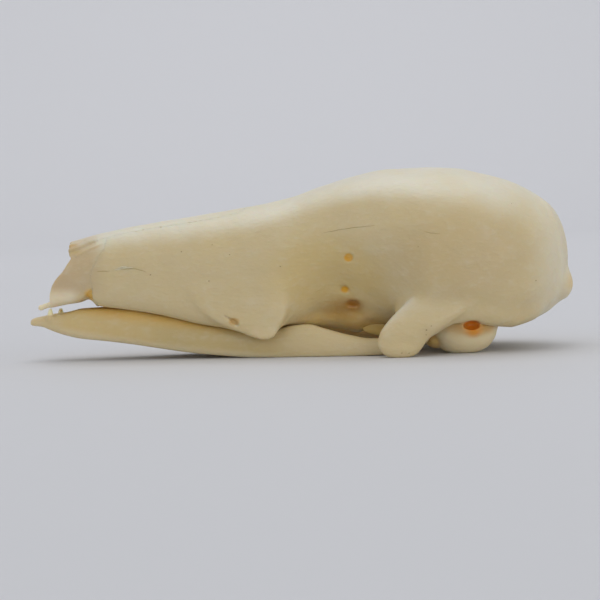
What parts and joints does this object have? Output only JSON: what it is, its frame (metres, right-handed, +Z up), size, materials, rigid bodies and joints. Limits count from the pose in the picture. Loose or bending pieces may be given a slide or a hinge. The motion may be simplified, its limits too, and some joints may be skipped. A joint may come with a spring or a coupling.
{
  "type": "pangolin skull",
  "caption": "Life-size toothless mammal skull with a tubular snout, domed braincase, hanging cheek lobes and a slender lower jaw, lying at rest.",
  "frame": {"origin": "on the resting plane, under the middle of the skull's length and width", "axes": "+X from the snout to the back of the head, +Y towards the animal's right side, +Z up from the resting plane"},
  "size_m": [0.087, 0.0342, 0.0292],
  "materials": {
    "cranial_bone": "cleaned ivory bone with a slight sheen",
    "snout_tip_bone": "thin, slightly pinkish bone with frayed edges",
    "ear_bone": "smooth bone, stained brown inside the ear opening",
    "jaw_bone": "thin, yellowish, slightly translucent bone"
  },
  "bodies": {
    "root": {"braincase": "cranial_bone", "maxilla": "cranial_bone", "nasal_left": "snout_tip_bone", "nasal_right": "snout_tip_bone", "premaxilla_left": "snout_tip_bone", "premaxilla_right": "snout_tip_bone", "squamosal_process_left": "cranial_bone", "squamosal_process_right": "cranial_bone", "tympanic_bulla_left": "ear_bone", "tympanic_bulla_right": "ear_bone", "occipital_condyle_left": "cranial_bone", "occipital_condyle_right": "cranial_bone", "pterygoid_left": "jaw_bone", "pterygoid_right": "jaw_bone", "mandible_left": "jaw_bone", "mandible_right": "jaw_bone"}
  },
  "joints": []
}
